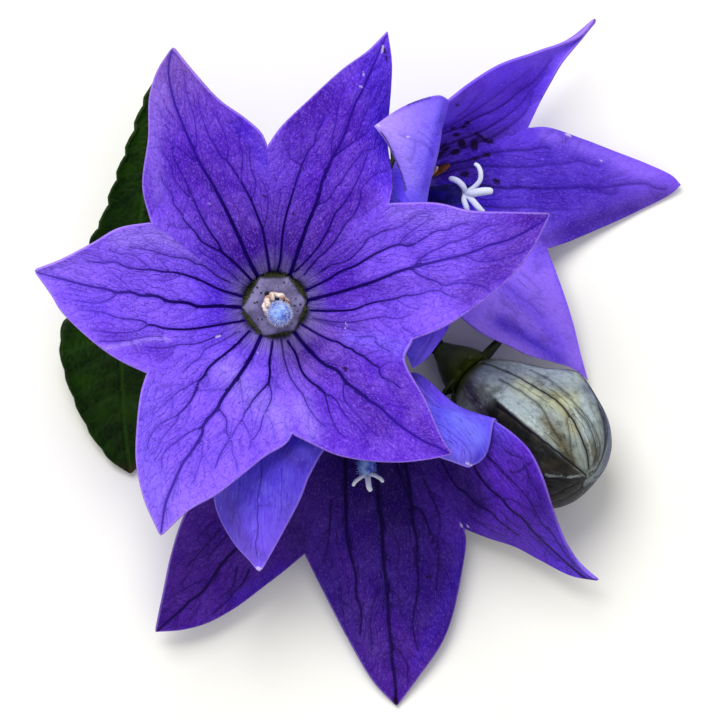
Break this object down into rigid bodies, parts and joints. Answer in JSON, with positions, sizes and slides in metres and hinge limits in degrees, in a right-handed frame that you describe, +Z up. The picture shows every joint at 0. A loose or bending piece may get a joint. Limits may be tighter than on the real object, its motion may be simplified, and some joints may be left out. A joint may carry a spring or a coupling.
{
  "type": "cut balloon flower spray",
  "caption": "Cut spray of blue-violet balloon flower lying down: open star-shaped blooms, a puffed balloon bud and toothed leaves on a short branched stem.",
  "frame": {"origin": "centre of the bounding box in plan, on the surface that the spray lies on", "axes": "+Z up, away from the surface; the main bloom faces +Z, the cut end of the stem points to -X, and the lower side bloom opens towards -Y"},
  "size_m": [0.0798, 0.0858, 0.0268],
  "materials": {
    "petals_main": "matt blue-violet petal with dark veins and a pale rim",
    "petals_lower": "matt deep violet petal, lighter outside",
    "petals_upper": "matt blue-violet petal, light outside",
    "bud_skin": "satin grey-green bud with dark navy veins",
    "green_stem": "smooth satin green stem and calyx",
    "leaf_green": "glossy dark green leaf",
    "disc_grey": "matt grey-mauve stamen bases",
    "style_blue": "downy pale blue style with a white tip",
    "anther_tan": "dry tan stamen"
  },
  "bodies": {
    "root": {"stem": "green_stem", "leaf_upper": "leaf_green", "leaf_lower": "leaf_green", "corolla_main": "petals_main", "corolla_lower": "petals_lower", "corolla_upper": "petals_upper", "corolla_bud": "bud_skin", "calyx_main": "green_stem", "calyx_lower": "green_stem", "calyx_upper": "green_stem", "calyx_bud": "green_stem", "disc_main": "disc_grey", "disc_lower": "disc_grey", "disc_upper": "disc_grey", "style_main": "style_blue", "style_lower": "style_blue", "style_upper": "style_blue", "stamens_main": "anther_tan", "stamens_lower": "anther_tan", "stamens_upper": "anther_tan"}
  },
  "joints": []
}
